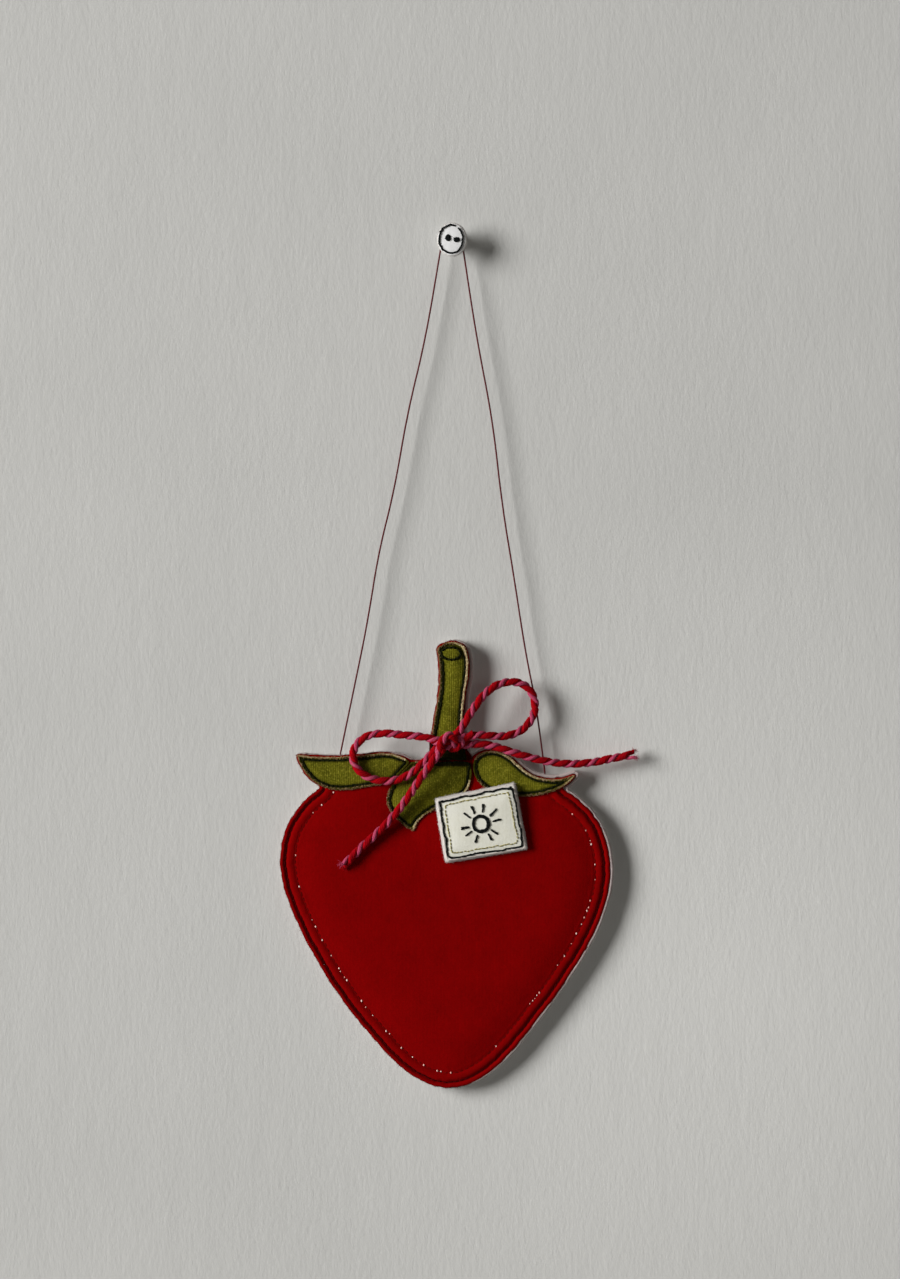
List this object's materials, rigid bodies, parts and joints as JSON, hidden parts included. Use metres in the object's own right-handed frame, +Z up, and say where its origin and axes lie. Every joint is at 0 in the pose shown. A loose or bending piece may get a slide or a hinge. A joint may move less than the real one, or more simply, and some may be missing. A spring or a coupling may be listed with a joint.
{
  "type": "padded strawberry wall hanging",
  "caption": "Padded fabric strawberry with stitched leaves, a twine bow and a sewn tag, hanging on a thread from a push pin with a felt button top.",
  "frame": {"origin": "where the push pin's axis meets the wall", "axes": "+X to the viewer's right, +Y into the wall along the pin, +Z up"},
  "size_m": [0.1065, 0.0242, 0.2589],
  "materials": {
    "pin_steel": "drawn steel needle",
    "pin_plastic": "moulded white plastic",
    "white_felt": "soft white felt",
    "button_cotton": "white felted cotton",
    "black_thread": "black sewing thread",
    "red_thread": "dark red sewing thread",
    "wadding": "loose white wadding",
    "red_cotton": "deep red brushed cotton",
    "seam_thread": "dark red sewing thread",
    "gold_thread": "metallic gold thread",
    "green_wool": "olive brushed wool with a frayed tan edge",
    "green_thread": "very dark green sewing thread",
    "bakers_twine": "twine of one red and one pink ply",
    "tag_felt": "pale grey felt",
    "cream_cotton": "cream quilting cotton",
    "cream_thread": "cream sewing thread"
  },
  "bodies": {
    "wall_pin": {"pin_needle": "pin_steel", "pin_body": "pin_plastic", "button_felt": "white_felt", "button_fabric": "button_cotton", "button_ring_stitch": "black_thread", "button_eye_stitches": "black_thread"},
    "thread_crown": {"thread_over_pin": "red_thread"},
    "thread_strands": {"thread_strand_left": "red_thread", "thread_strand_right": "red_thread"},
    "strawberry": {"back_felt": "white_felt", "wadding": "wadding", "front_fabric": "red_cotton", "seam_stitch": "seam_thread", "gold_stitches": "gold_thread", "leaf_left": "green_wool", "leaf_centre": "green_wool", "leaf_right": "green_wool", "stem_patch": "green_wool", "stem_end_patch": "green_wool", "leaf_left_stitch": "green_thread", "leaf_centre_stitch": "green_thread", "leaf_right_stitch": "green_thread", "stem_stitch": "green_thread", "stem_end_stitch": "green_thread", "thread_anchors": "red_thread", "bow_knot": "bakers_twine", "bow_tack_stitch": "red_thread", "bow_loop_left": "bakers_twine", "bow_loop_right": "bakers_twine", "bow_tail_left": "bakers_twine", "bow_tail_right": "bakers_twine", "tag_felt": "tag_felt", "tag_fabric": "cream_cotton", "tag_outline_stitch": "black_thread", "tag_gold_stitches": "gold_thread", "tag_motif_stitch": "black_thread", "tag_tack_stitches": "cream_thread"}
  },
  "joints": [
    {"name": "pin_swing", "type": "hinge", "parent": "wall_pin", "child": "thread_crown", "pos_m": [0, -0.003, 0], "axis": [0, 1, 0], "range_deg": [-30, 30]},
    {"name": "thread_lean", "type": "hinge", "parent": "thread_crown", "child": "thread_strands", "pos_m": [0, -0.003, 0.00046], "axis": [1, 0, 0], "range_deg": [-35, 0]},
    {"name": "berry_plumb", "type": "hinge", "parent": "thread_strands", "child": "strawberry", "pos_m": [-0.0334, -0.003, -0.1536], "axis": [0.9955, 0, -0.0943], "range_deg": [0, 35]}
  ],
  "couplings": [
    {"joint": "thread_lean", "follows": "berry_plumb", "ratio": -1}
  ]
}
